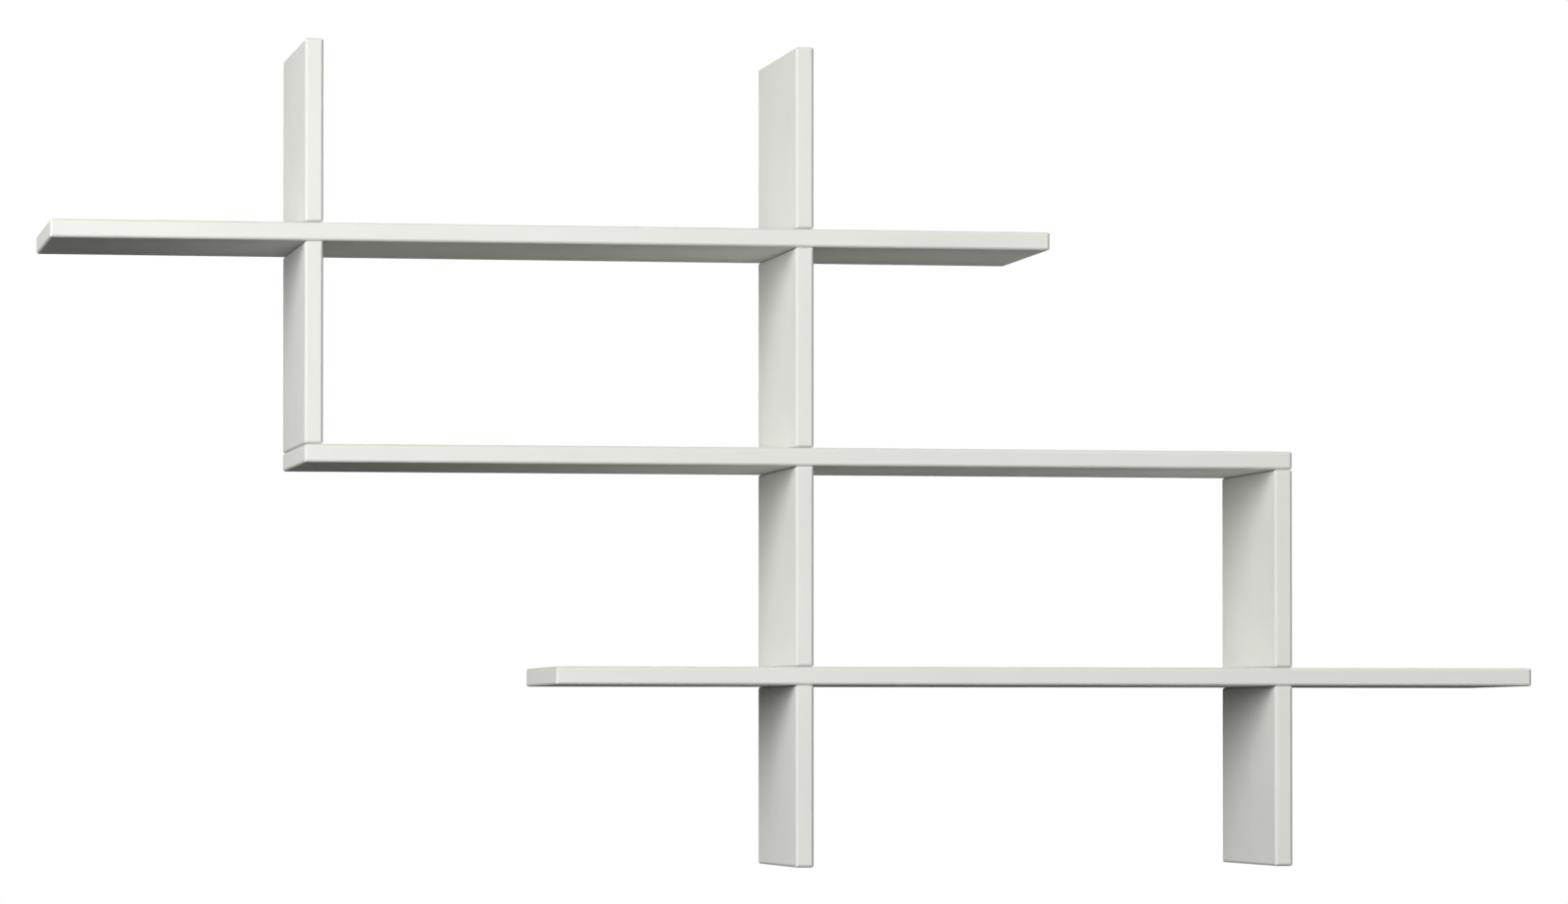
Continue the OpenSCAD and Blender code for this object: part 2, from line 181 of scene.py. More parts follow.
def edgingWithShadedArrises():
    # ABS edging, extruded in the board's white: a shade cleaner than the faces, with a soft sheen on its
    # flats. Its arrises are scraped round and given a greyer tone: painted shade that dims their
    # highlights.
    material, tree = newMaterial("absEdgingShadedArrises")
    place = addNode(tree, "ShaderNodeTexCoord").outputs["Object"]
    white = cloudedWhite(tree, place, edgeBand)
    normal = addNode(tree, "ShaderNodeNewGeometry").outputs["Normal"]
    leans = addNode(tree, "ShaderNodeVectorMath", {"operation": "ABSOLUTE"}, {0: normal})
    lean = addNode(tree, "ShaderNodeSeparateXYZ", inputs={"Vector": leans.outputs[0]})
    flatness = lean.outputs["X"]
    for axis in "YZ":
        flatness = addNode(tree, "ShaderNodeMath", {"operation": "MAXIMUM"}, {
            0: flatness, 1: lean.outputs[axis]}).outputs[0]
    # painted shade: where the normal leans off every axis, on the arrises, the colour turns to the darker
    # tone
    paintedArrisShade = addNode(tree, "ShaderNodeMapRange", inputs={
        "Value": flatness, "From Min": 1.0, "From Max": edgeBand["arrisShadeFrom"]})
    colour = addNode(tree, "ShaderNodeMix", {"data_type": "RGBA"}, {
        "Factor": paintedArrisShade.outputs[0], "A": white, "B": hexToLinear(edgeBand["arrisShade"])})
    marks = addNode(tree, "ShaderNodeTexNoise", inputs={
        "Vector": place, "Scale": 1 / edgeBand["scrape"], "Detail": 1.0})
    bump = addNode(tree, "ShaderNodeBump", inputs={
        "Height": marks.outputs["Fac"], "Distance": edgeBand["scrapeHeight"],
        "Strength": edgeBand["bump"]})
    shader = addNode(tree, "ShaderNodeBsdfPrincipled", inputs={
        "Base Color": colour.outputs["Result"], "Roughness": edgeBand["roughness"], "IOR": edgeBand["ior"],
        "Normal": bump.outputs["Normal"]})
    finishMaterial(tree, shader)
    return material


moulded = {
    "white": "EFEFEA",
    "shade": "E9E9E3",
    "cloud": 12 * mm,
    "spark": 0.35 * mm,         # grain of the spark-eroded mould
    "sparkHeight": 0.012 * mm,
    "bump": 0.6,
    "roughness": 0.42,
    "ior": 1.51,
}


def mouldedPlastic():
    # Injection-moulded polyethylene caps: a cleaner, cooler white than the boards, waxy, with the fine
    # grain of the mould.
    material, tree = newMaterial("mouldedPolyethylene")
    place = addNode(tree, "ShaderNodeTexCoord").outputs["Object"]
    white = cloudedWhite(tree, place, moulded)
    grain = addNode(tree, "ShaderNodeTexNoise", inputs={
        "Vector": place, "Scale": 1 / moulded["spark"], "Detail": 2.0})
    bump = addNode(tree, "ShaderNodeBump", inputs={
        "Height": grain.outputs["Fac"], "Distance": moulded["sparkHeight"], "Strength": moulded["bump"]})
    shader = addNode(tree, "ShaderNodeBsdfPrincipled", inputs={
        "Base Color": white, "Roughness": moulded["roughness"], "IOR": moulded["ior"],
        "Normal": bump.outputs["Normal"]})
    finishMaterial(tree, shader)
    return material


castZinc = {
    "light": "A9ACAE",
    "dark": "8A8D90",
    "grain": 1.2 * mm,              # sand of the tumbling drum
    "height": 0.02 * mm,
    "bump": 0.5,
    "roughness": (0.42, 0.6),       # of the smoothest and the dullest spots
}
platedSteel = {
    "light": "C6CACE",
    "dark": "AEB4BA",
    "grain": 5 * mm,                # spangle of the plating
    "height": 0.003 * mm,
    "bump": 0.5,
    "roughness": (0.24, 0.4),
}


def metal(name, finish):
    # A metal skin whose colour and shine both wander with one grain, over a slight unevenness
    material, tree = newMaterial(name)
    place = addNode(tree, "ShaderNodeTexCoord").outputs["Object"]
    grain = addNode(tree, "ShaderNodeTexNoise", inputs={
        "Vector": place, "Scale": 1 / finish["grain"], "Detail": 4.0})
    colour = addNode(tree, "ShaderNodeValToRGB", inputs={"Fac": grain.outputs["Fac"]})
    colour.color_ramp.elements[0].color = hexToLinear(finish["dark"])
    colour.color_ramp.elements[1].color = hexToLinear(finish["light"])
    smoothest, roughest = finish["roughness"]
    shine = addNode(tree, "ShaderNodeMapRange", inputs={
        "Value": grain.outputs["Fac"], "To Min": roughest, "To Max": smoothest})
    bump = addNode(tree, "ShaderNodeBump", inputs={
        "Height": grain.outputs["Fac"], "Distance": finish["height"], "Strength": finish["bump"]})
    shader = addNode(tree, "ShaderNodeBsdfPrincipled", inputs={
        "Base Color": colour.outputs["Color"], "Metallic": 1.0, "Roughness": shine.outputs[0],
        "Normal": bump.outputs["Normal"]})
    finishMaterial(tree, shader)
    return material


beech = {
    "early": "D9B88A",
    "late": "C49A68",
    "ring": 1.8 * mm,           # width of a year's growth
    "ringEdges": (0.35, 0.75),  # where the noise has turned fully into early and late wood
    "fleck": 0.7 * mm,          # width of the short dark rays
    "fleckEdges": (0.62, 0.7),  # where the noise starts a fleck, and where it is full
    "fleckDepth": 0.6,
    "stretch": 0.08,            # grain and flecks are this much slower along the dowel
    "roughness": 0.6,
    "ior": 1.5,
}


def turnedBeech():
    # Beech, turned and pressed: a pinkish straw colour with fine straight grain along the dowel and
    # short dark flecks.
    material, tree = newMaterial("turnedBeech")
    place = addNode(tree, "ShaderNodeTexCoord").outputs["Object"]
    along = addNode(tree, "ShaderNodeMapping", inputs={"Vector": place, "Scale": (1, 1, beech["stretch"])})
    rings = addNode(tree, "ShaderNodeTexNoise", inputs={
        "Vector": along.outputs[0], "Scale": 1 / beech["ring"], "Detail": 2.0})
    flecks = addNode(tree, "ShaderNodeTexNoise", inputs={
        "Vector": along.outputs[0], "Scale": 1 / beech["fleck"], "Detail": 1.0})
    fleckStart, fleckFull = beech["fleckEdges"]
    dark = addNode(tree, "ShaderNodeMapRange", inputs={
        "Value": flecks.outputs["Fac"], "From Min": fleckStart, "From Max": fleckFull,
        "To Max": beech["fleckDepth"]})
    tone = addNode(tree, "ShaderNodeMath", {"operation": "MAXIMUM"}, {
        0: rings.outputs["Fac"], 1: dark.outputs[0]})
    colour = addNode(tree, "ShaderNodeValToRGB", inputs={"Fac": tone.outputs[0]})
    for stop, position, wood in zip(colour.color_ramp.elements, beech["ringEdges"], ("early", "late")):
        stop.position = position
        stop.color = hexToLinear(beech[wood])
    shader = addNode(tree, "ShaderNodeBsdfPrincipled", inputs={
        "Base Color": colour.outputs["Color"], "Roughness": beech["roughness"], "IOR": beech["ior"]})
    finishMaterial(tree, shader)
    return material


shelfFinish = melamineBoard("pearlMelamineShelf", "Z")
uprightFinish = melamineBoard("pearlMelamineUpright", "X")
edgingFinish = edgingWithShadedArrises()
capFinish = mouldedPlastic()
camFinish = metal("dieCastZinc", castZinc)              # grey, dull, finely blurred by the tumbling drum
steelFinish = metal("zincPlatedSteel", platedSteel)     # bright, bluish, with the plating's soft spangle
dowelFinish = turnedBeech()

nodeFinish = {"cam_locks": camFinish, "cam_covers": capFinish, "through_dowels": dowelFinish,
              "corner_dowels": dowelFinish, "through_bolts": steelFinish, "corner_bolts": steelFinish,
              "wall_brackets": steelFinish, "bracket_screws": steelFinish}
for name in nodes:
    if name.endswith("_shelf"):
        nodeFinish[name] = shelfFinish
    elif name.endswith("_upright"):
        nodeFinish[name] = uprightFinish
    elif name.endswith("_edging"):
        nodeFinish[name] = edgingFinish
for name, finish in nodeFinish.items():
    mesh = nodes[name].data
    mesh.materials.clear()
    mesh.materials.append(finish)
print("finishes done:", len(nodeFinish), "nodes")


# Shapes that repeat, made by geometry nodes: one tree for each kind, on a mesh with a point for each copy

crispAngle = 35     # degrees: sharper edges than this aren't shaded round


def newShapeTree(name, sizes):
    tree = bpy.data.node_groups.new(name, "GeometryNodeTree")
    tree.interface.new_socket("Places", in_out="INPUT", socket_type="NodeSocketGeometry")
    for size in sizes:
        tree.interface.new_socket(size, in_out="INPUT", socket_type="NodeSocketFloat")
    tree.interface.new_socket("Finish", in_out="INPUT", socket_type="NodeSocketMaterial")
    tree.interface.new_socket("Copies", in_out="OUTPUT", socket_type="NodeSocketGeometry")
    return tree, addNode(tree, "NodeGroupInput").outputs


def finishShapeTree(tree, given, shape):
    # shades the shape round but for its crisp edges, and puts a copy on each place
    angle = addNode(tree, "GeometryNodeInputMeshEdgeAngle").outputs["Unsigned Angle"]
    isSharp = addNode(tree, "FunctionNodeCompare", {"operation": "GREATER_THAN"}, {
        "A": angle, "B": math.radians(crispAngle)})
    smooth = addNode(tree, "GeometryNodeSetShadeSmooth", inputs={"Geometry": shape, "Shade Smooth": True})
    crisp = addNode(tree, "GeometryNodeSetShadeSmooth", {"domain": "EDGE"}, {
        "Geometry": smooth.outputs[0], "Selection": isSharp.outputs[0], "Shade Smooth": False})
    turn = addNode(tree, "GeometryNodeInputNamedAttribute", {"data_type": "FLOAT_VECTOR"}, {"Name": "turn"})
    copies = addNode(tree, "GeometryNodeInstanceOnPoints", inputs={
        "Points": given["Places"], "Instance": crisp.outputs[0], "Rotation": turn.outputs[0]})
    real = addNode(tree, "GeometryNodeRealizeInstances", inputs={"Geometry": copies.outputs[0]})
    finished = addNode(tree, "GeometryNodeSetMaterial", inputs={
        "Geometry": real.outputs[0], "Material": given["Finish"]})
    addNode(tree, "NodeGroupOutput", inputs={"Copies": finished.outputs[0]})


def growPiece(name, node, tree, places, sizes, finish):
    # places holds a point and a turn for each copy, and the result is a plain mesh that stands for the node
    points = bpy.data.meshes.new(name + "Places")
    points.from_pydata([place for place, turn in places], [], [])
    turns = points.attributes.new("turn", "FLOAT_VECTOR", "POINT")
    for entry, (place, turn) in zip(turns.data, places):
        entry.vector = turn
    maker = addObject(name + "Maker", points)
    modifier = maker.modifiers.new("shape", "NODES")
    modifier.node_group = tree
    values = {**sizes, "Finish": finish}
    for socket in tree.interface.items_tree:
        if socket.name in values:
            modifier[socket.identifier] = values[socket.name]
    grown = maker.evaluated_get(bpy.context.evaluated_depsgraph_get())
    mesh = bpy.data.meshes.new_from_object(grown)
    mesh.name = name
    if mesh.materials[0] is None:
        mesh.materials.pop(index=0)     # the empty slot that the tree's own shapes come with
    bpy.data.objects.remove(maker)
    bpy.data.meshes.remove(points)
    for attribute in [entry for entry in mesh.attributes if entry.name == "turn"]:
        mesh.attributes.remove(attribute)
    piece = addObject(name, mesh)
    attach(piece, "root")
    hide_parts(node)
    print(name, "done:", len(places), "copies,", len(mesh.polygons), "faces")


def pushFace(tree, mesh, face, climb, scale):
    # moves a face out by climb and scales it there, as one step of a turned profile
    moved = addNode(tree, "GeometryNodeExtrudeMesh", inputs={
        "Mesh": mesh, "Selection": face, "Offset Scale": climb, "Individual": False})
    scaled = addNode(tree, "GeometryNodeScaleElements", inputs={
        "Geometry": moved.outputs["Mesh"], "Selection": moved.outputs["Top"], "Scale": scale})
    return scaled.outputs[0], moved.outputs["Top"]


def roundedDisc(tree, diameter, height, rim, segments, steps):
    # a disc from z = 0 up, with a quarter round of radius rim between its wall and its top face
    radius = addNode(tree, "ShaderNodeMath", {"operation": "MULTIPLY"}, {0: diameter, 1: 0.5}).outputs[0]
    wall = addNode(tree, "ShaderNodeMath", {"operation": "SUBTRACT"}, {0: height, 1: rim}).outputs[0]
    lift = addNode(tree, "ShaderNodeMath", {"operation": "MULTIPLY"}, {0: wall, 1: 0.5}).outputs[0]
    drum = addNode(tree, "GeometryNodeMeshCylinder", inputs={
        "Vertices": segments, "Radius": radius, "Depth": wall})
    up = addNode(tree, "ShaderNodeCombineXYZ", inputs={"Z": lift})
    raised = addNode(tree, "GeometryNodeTransform", inputs={
        "Geometry": drum.outputs["Mesh"], "Translation": up.outputs[0]})
    mesh, top, outer = raised.outputs[0], drum.outputs["Top"], radius
    for step in range(steps):
        before, after = math.pi / 2 * step / steps, math.pi / 2 * (step + 1) / steps
        climb = addNode(tree, "ShaderNodeMath", {"operation": "MULTIPLY"}, {
            0: rim, 1: math.sin(after) - math.sin(before)})
        inner = addNode(tree, "ShaderNodeMath", {"operation": "MULTIPLY_ADD"}, {
            0: rim, 1: math.cos(after) - 1, 2: radius})
        scale = addNode(tree, "ShaderNodeMath", {"operation": "DIVIDE"}, {0: inner.outputs[0], 1: outer})
        mesh, top = pushFace(tree, mesh, top, climb.outputs[0], scale.outputs[0])
        outer = inner.outputs[0]
    return mesh, top


# Cam covers: a thin cap with a soft rim, a shallow dish and a crossed peg behind it

capSizes = {
    "Diameter": 17.4 * mm,
    "Thickness": 1.2 * mm,
    "Rim": 0.6 * mm,
    "Dish": 0.15 * mm,
    "Dish Edge": 0.84,          # width of the dish, of the flat inside the rim
    "Dish Floor": 0.96,         # width of the dish's flat floor, of the dish
    "Peg Length": 6.8 * mm,
    "Peg Width": 1.4 * mm,
    "Peg Depth": 2.0 * mm,
}
capSegments = 64
capRimSteps = 4


def capTree():
    tree, given = newShapeTree("camCap", capSizes)
    mesh, top = roundedDisc(tree, given["Diameter"], given["Thickness"], given["Rim"],
                            capSegments, capRimSteps)
    mesh, top = pushFace(tree, mesh, top, 0.0, given["Dish Edge"])
    sink = addNode(tree, "ShaderNodeMath", {"operation": "MULTIPLY"}, {0: given["Dish"], 1: -1.0})
    mesh = pushFace(tree, mesh, top, sink.outputs[0], given["Dish Floor"])[0]
    # the peg: two crossed bars on the back
    bar = addNode(tree, "ShaderNodeCombineXYZ", inputs={
        "X": given["Peg Length"], "Y": given["Peg Width"], "Z": given["Peg Depth"]})
    down = addNode(tree, "ShaderNodeMath", {"operation": "MULTIPLY"}, {0: given["Peg Depth"], 1: -0.5})
    below = addNode(tree, "ShaderNodeCombineXYZ", inputs={"Z": down.outputs[0]})
    peg = addNode(tree, "GeometryNodeMeshCube", inputs={"Size": bar.outputs[0]})
    pegs = [addNode(tree, "GeometryNodeTransform", inputs={
        "Geometry": peg.outputs["Mesh"], "Translation": below.outputs[0],
        "Rotation": (0, 0, turn)}).outputs[0] for turn in (0, math.pi / 2)]
    cross = addNode(tree, "GeometryNodeMeshBoolean", {"operation": "UNION", "solver": "EXACT"}, {
        "Mesh 2": pegs})
    whole = addNode(tree, "GeometryNodeJoinGeometry", inputs={"Geometry": [mesh, cross.outputs["Mesh"]]})
    finishShapeTree(tree, given, whole.outputs[0])
    return tree


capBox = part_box("cam_covers")
capRadius = capSizes["Diameter"] / 2
camReach = capBox[1].z - capRadius - boardHalf - rise       # from the upright's end to the cam's axis
camRows = (capBox[1].y - capRadius, capBox[0].y + capRadius)
facingRight = (0, math.pi / 2, 0)
capPlaces = [((column * pitch + boardHalf, row, level * rise + side * (boardHalf + camReach)), facingRight)
             for column, level, side in uprightEnds for row in camRows]
growPiece("camCaps", "cam_covers", capTree(), capPlaces, capSizes, capFinish)


# Bracket screws: pan heads with a cross recess, a rolled thread and a point

screwSizes = {
    "Head Diameter": 7.0 * mm,
    "Head Height": 2.2 * mm,
    "Head Round": 1.3 * mm,
    "Recess Length": 4.0 * mm,
    "Recess Width": 1.0 * mm,
    "Recess Depth": 1.3 * mm,
    "Core": 2.3 * mm,           # diameter between the threads
    "Thread": 3.4 * mm,         # diameter over the threads
    "Pitch": 1.25 * mm,
    "Length": 15.0 * mm,
    "Point": 3.4 * mm,
    "Overlap": 0.4 * mm,        # how far the shank runs up into the head
}
headSegments = 40
headRoundSteps = 5
recessFloor = 0.4       # from the recess's middle to a corner of its floor, for a mouth one unit square

# the threads of the screws and of the corner bolts
threadForm = {
    "steps": 20,        # points in each turn
    "corners": 4,       # of the ridge's section, a square stood on its corner
    "end": 0.06,        # height of the ridge where it runs out, of its full height
    "tip": 0.1,         # width of the point's end, of the core
    "segments": 20,     # round the core
}


def threadRidge(tree, core, outer, turnPitch, length, point):
    # a ridge wound round a core from z = -length up to z = 0, running out at the top and along the point
    ridge = addNode(tree, "ShaderNodeMath", {"operation": "SUBTRACT"}, {0: outer, 1: core}).outputs[0]
    halfRidge = addNode(tree, "ShaderNodeMath", {"operation": "MULTIPLY"}, {0: ridge, 1: 0.5}).outputs[0]
    radius = addNode(tree, "ShaderNodeMath", {"operation": "MULTIPLY"}, {0: core, 1: 0.5}).outputs[0]
    turns = addNode(tree, "ShaderNodeMath", {"operation": "DIVIDE"}, {0: length, 1: turnPitch}).outputs[0]
    bottom = addNode(tree, "ShaderNodeMath", {"operation": "MULTIPLY"}, {0: length, 1: -1.0}).outputs[0]
    pointTop = addNode(tree, "ShaderNodeMath", {"operation": "ADD"}, {0: bottom, 1: point}).outputs[0]
    helix = addNode(tree, "GeometryNodeCurveSpiral", inputs={
        "Resolution": threadForm["steps"], "Rotations": turns, "Start Radius": radius,
        "End Radius": radius, "Height": length})
    down = addNode(tree, "ShaderNodeCombineXYZ", inputs={"Z": bottom})
    lowered = addNode(tree, "GeometryNodeTransform", inputs={
        "Geometry": helix.outputs[0], "Translation": down.outputs[0]})
    place = addNode(tree, "ShaderNodeSeparateXYZ", inputs={
        "Vector": addNode(tree, "GeometryNodeInputPosition").outputs[0]})
    inPoint = addNode(tree, "ShaderNodeMapRange", inputs={
        "Value": place.outputs["Z"], "From Min": bottom, "From Max": pointTop,
        "To Min": threadForm["tip"]}).outputs[0]
    fromTop = addNode(tree, "ShaderNodeMath", {"operation": "DIVIDE"}, {
        0: place.outputs["Z"], 1: turnPitch})
    fade = addNode(tree, "ShaderNodeMapRange", inputs={
        "Value": fromTop.outputs[0], "From Min": -1.0, "From Max": 0.0, "To Min": 1.0,
        "To Max": threadForm["end"]}).outputs[0]
    across = addNode(tree, "ShaderNodeCombineXYZ", inputs={"X": inPoint, "Y": inPoint, "Z": 1.0})
    drawnIn = addNode(tree, "ShaderNodeVectorMath", {"operation": "MULTIPLY"}, {
        0: addNode(tree, "GeometryNodeInputPosition").outputs[0], 1: across.outputs[0]})
    pointed = addNode(tree, "GeometryNodeSetPosition", inputs={
        "Geometry": lowered.outputs[0], "Position": drawnIn.outputs[0]})
    upright = addNode(tree, "GeometryNodeSetCurveNormal", {"mode": "Z_UP"}, {"Curve": pointed.outputs[0]})
    height = addNode(tree, "ShaderNodeMath", {"operation": "MULTIPLY"}, {0: inPoint, 1: fade})
    section = addNode(tree, "GeometryNodeCurvePrimitiveCircle", inputs={
        "Resolution": threadForm["corners"], "Radius": halfRidge})
    swept = addNode(tree, "GeometryNodeCurveToMesh", inputs={
        "Curve": upright.outputs[0], "Profile Curve": section.outputs["Curve"], "Scale": height.outputs[0],
        "Fill Caps": True})
    return swept.outputs[0]


def pointedShank(tree, core, length, point, overlap):
    # a round bar from a little above z = 0 down to z = -length, the last stretch drawn in to a point
    straight = addNode(tree, "ShaderNodeMath", {"operation": "SUBTRACT"}, {0: length, 1: point}).outputs[0]
    whole = addNode(tree, "ShaderNodeMath", {"operation": "ADD"}, {0: straight, 1: overlap}).outputs[0]
    drop = addNode(tree, "ShaderNodeMath", {"operation": "MULTIPLY_ADD"}, {0: whole, 1: -0.5, 2: overlap})
    radius = addNode(tree, "ShaderNodeMath", {"operation": "MULTIPLY"}, {0: core, 1: 0.5})
    bar = addNode(tree, "GeometryNodeMeshCylinder", inputs={
        "Vertices": threadForm["segments"], "Radius": radius.outputs[0], "Depth": whole})
    down = addNode(tree, "ShaderNodeCombineXYZ", inputs={"Z": drop.outputs[0]})
    placed = addNode(tree, "GeometryNodeTransform", inputs={
        "Geometry": bar.outputs["Mesh"], "Translation": down.outputs[0]})
    return pushFace(tree, placed.outputs[0], bar.outputs["Bottom"], point, threadForm["tip"])[0]


def screwTree():
    tree, given = newShapeTree("panHeadScrew", screwSizes)
    head = roundedDisc(tree, given["Head Diameter"], given["Head Height"], given["Head Round"],
                       headSegments, headRoundSteps)[0]
    # the recess: two crossed bars that narrow downwards
    wedge = addNode(tree, "GeometryNodeMeshCone", inputs={
        "Vertices": 4, "Radius Top": math.sqrt(0.5), "Radius Bottom": recessFloor, "Depth": 1.0})
    squared = addNode(tree, "GeometryNodeTransform", inputs={
        "Geometry": wedge.outputs["Mesh"], "Translation": (0, 0, -0.5), "Rotation": (0, 0, math.pi / 4)})
    barSize = addNode(tree, "ShaderNodeCombineXYZ", inputs={
        "X": given["Recess Length"], "Y": given["Recess Width"], "Z": given["Recess Depth"]})
    headTop = addNode(tree, "ShaderNodeCombineXYZ", inputs={"Z": given["Head Height"]})
    bar = addNode(tree, "GeometryNodeTransform", inputs={
        "Geometry": squared.outputs[0], "Translation": headTop.outputs[0], "Scale": barSize.outputs[0]})
    bars = [addNode(tree, "GeometryNodeTransform", inputs={
        "Geometry": bar.outputs[0], "Rotation": (0, 0, turn)}).outputs[0] for turn in (0, math.pi / 2)]
    recessed = addNode(tree, "GeometryNodeMeshBoolean", {"operation": "DIFFERENCE", "solver": "EXACT"}, {
        "Mesh 1": head, "Mesh 2": bars})
    shank = pointedShank(tree, given["Core"], given["Length"], given["Point"], given["Overlap"])
    thread = threadRidge(tree, given["Core"], given["Thread"], given["Pitch"], given["Length"],
                         given["Point"])
    whole = addNode(tree, "GeometryNodeJoinGeometry", inputs={
        "Geometry": [recessed.outputs["Mesh"], shank, thread]})
    finishShapeTree(tree, given, whole.outputs[0])
    return tree


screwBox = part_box("bracket_screws")
screwX = screwBox[0].x + screwSizes["Head Diameter"] / 2 + pitch    # from the upright's middle
screwY = middle("bracket_screws").y
screwZ = screwBox[1].z - screwSizes["Head Height"] - rise   # under the head, from the shelf's middle
screwTurns = (0.3, 1.1, 0.7, 1.4, 0.1, 0.9)         # radians: each screw stopped where it was tight
screwPlaces = [((column * pitch + screwX, screwY, level * rise + screwZ), (0, 0, turn))
               for (column, level), turn in zip(bracketPlaces, screwTurns)]
growPiece("bracketScrews", "bracket_screws", screwTree(), screwPlaces, screwSizes,
          steelFinish)


# Dowels: fluted beech with chamfered ends

dowelSizes = {
    "Diameter": 7.8 * mm,
    "Length": 50.0 * mm,
    "Chamfer": 1.0 * mm,
    "Groove": 0.3 * mm,
}
dowelFlutes = 24
pointsPerFlute = 3


def dowelTree():
    tree, given = newShapeTree("flutedDowel", dowelSizes)
    radius = addNode(tree, "ShaderNodeMath", {"operation": "MULTIPLY"}, {
        0: given["Diameter"], 1: 0.5}).outputs[0]
    straight = addNode(tree, "ShaderNodeMath", {"operation": "MULTIPLY_ADD"}, {
        0: given["Chamfer"], 1: -2.0, 2: given["Length"]}).outputs[0]
    bar = addNode(tree, "GeometryNodeMeshCylinder", inputs={
        "Vertices": dowelFlutes * pointsPerFlute, "Radius": radius, "Depth": straight})
    index = addNode(tree, "GeometryNodeInputIndex")
    # every third point round the bar is drawn in, as the bottom of a flute
    inFlute = addNode(tree, "ShaderNodeMath", {"operation": "MODULO"}, {
        0: index.outputs[0], 1: pointsPerFlute})
    isGroove = addNode(tree, "ShaderNodeMath", {"operation": "LESS_THAN"}, {0: inFlute.outputs[0], 1: 0.5})
    share = addNode(tree, "ShaderNodeMath", {"operation": "DIVIDE"}, {0: given["Groove"], 1: radius})
    cut = addNode(tree, "ShaderNodeMath", {"operation": "MULTIPLY"}, {
        0: share.outputs[0], 1: isGroove.outputs[0]})
    kept = addNode(tree, "ShaderNodeMath", {"operation": "SUBTRACT"}, {0: 1.0, 1: cut.outputs[0]})
    across = addNode(tree, "ShaderNodeCombineXYZ", inputs={
        "X": kept.outputs[0], "Y": kept.outputs[0], "Z": 1.0})
    place = addNode(tree, "ShaderNodeVectorMath", {"operation": "MULTIPLY"}, {
        0: addNode(tree, "GeometryNodeInputPosition").outputs[0], 1: across.outputs[0]})
    fluted = addNode(tree, "GeometryNodeSetPosition", inputs={
        "Geometry": bar.outputs["Mesh"], "Position": place.outputs[0]})
    narrow = addNode(tree, "ShaderNodeMath", {"operation": "DIVIDE"}, {0: given["Chamfer"], 1: radius})
    tip = addNode(tree, "ShaderNodeMath", {"operation": "SUBTRACT"}, {
        0: 1.0, 1: narrow.outputs[0]}).outputs[0]
    mesh = pushFace(tree, fluted.outputs[0], bar.outputs["Top"], given["Chamfer"], tip)[0]
    mesh = pushFace(tree, mesh, bar.outputs["Bottom"], given["Chamfer"], tip)[0]
    finishShapeTree(tree, given, mesh)
    return tree


dowelShape = dowelTree()
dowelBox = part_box("through_dowels")
dowelRadius = dowelSizes["Diameter"] / 2
dowelRows = (dowelBox[1].y - dowelRadius, dowelBox[0].y + dowelRadius)
dowelSizes["Length"] = 2 * (dowelBox[1].z - rise)
throughPlaces = [((column * pitch, row, level * rise), (0, 0, 0))
                 for column, level in crossings for row in dowelRows]
growPiece("throughDowels", "through_dowels", dowelShape, throughPlaces, dowelSizes, dowelFinish)

shelfReach = 11 * mm        # length of a corner dowel inside the shelf
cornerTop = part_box("corner_dowels")[1].z
cornerLength = cornerTop - boardHalf + shelfReach
cornerPlaces = [((column * pitch, row, level * rise + side * (cornerTop - cornerLength / 2)), (0, 0, 0))
                for column, level, side in corners for row in dowelRows]
growPiece("cornerDowels", "corner_dowels", dowelShape, cornerPlaces,
          {**dowelSizes, "Length": cornerLength}, dowelFinish)


# Corner bolts: a ball, a neck and a shank for the cam, and a coarse wood thread in the shelf

boltSizes = {
    "Shank": 7.4 * mm,
    "Shank Height": 25.5 * mm,
    "Shoulder": 0.8 * mm,
    "Neck": 4.4 * mm,
    "Ball": 6.8 * mm,
    "Ball Height": 32.3 * mm,
    "Core": 4.4 * mm,
    "Thread": 6.2 * mm,
    "Pitch": 2.5 * mm,
    "Thread Length": 11.0 * mm,
    "Point": 2.0 * mm,
    "Overlap": 0.5 * mm,        # how far the threaded bar runs up into the shank
}
boltSegments = 32
ballRings = 16


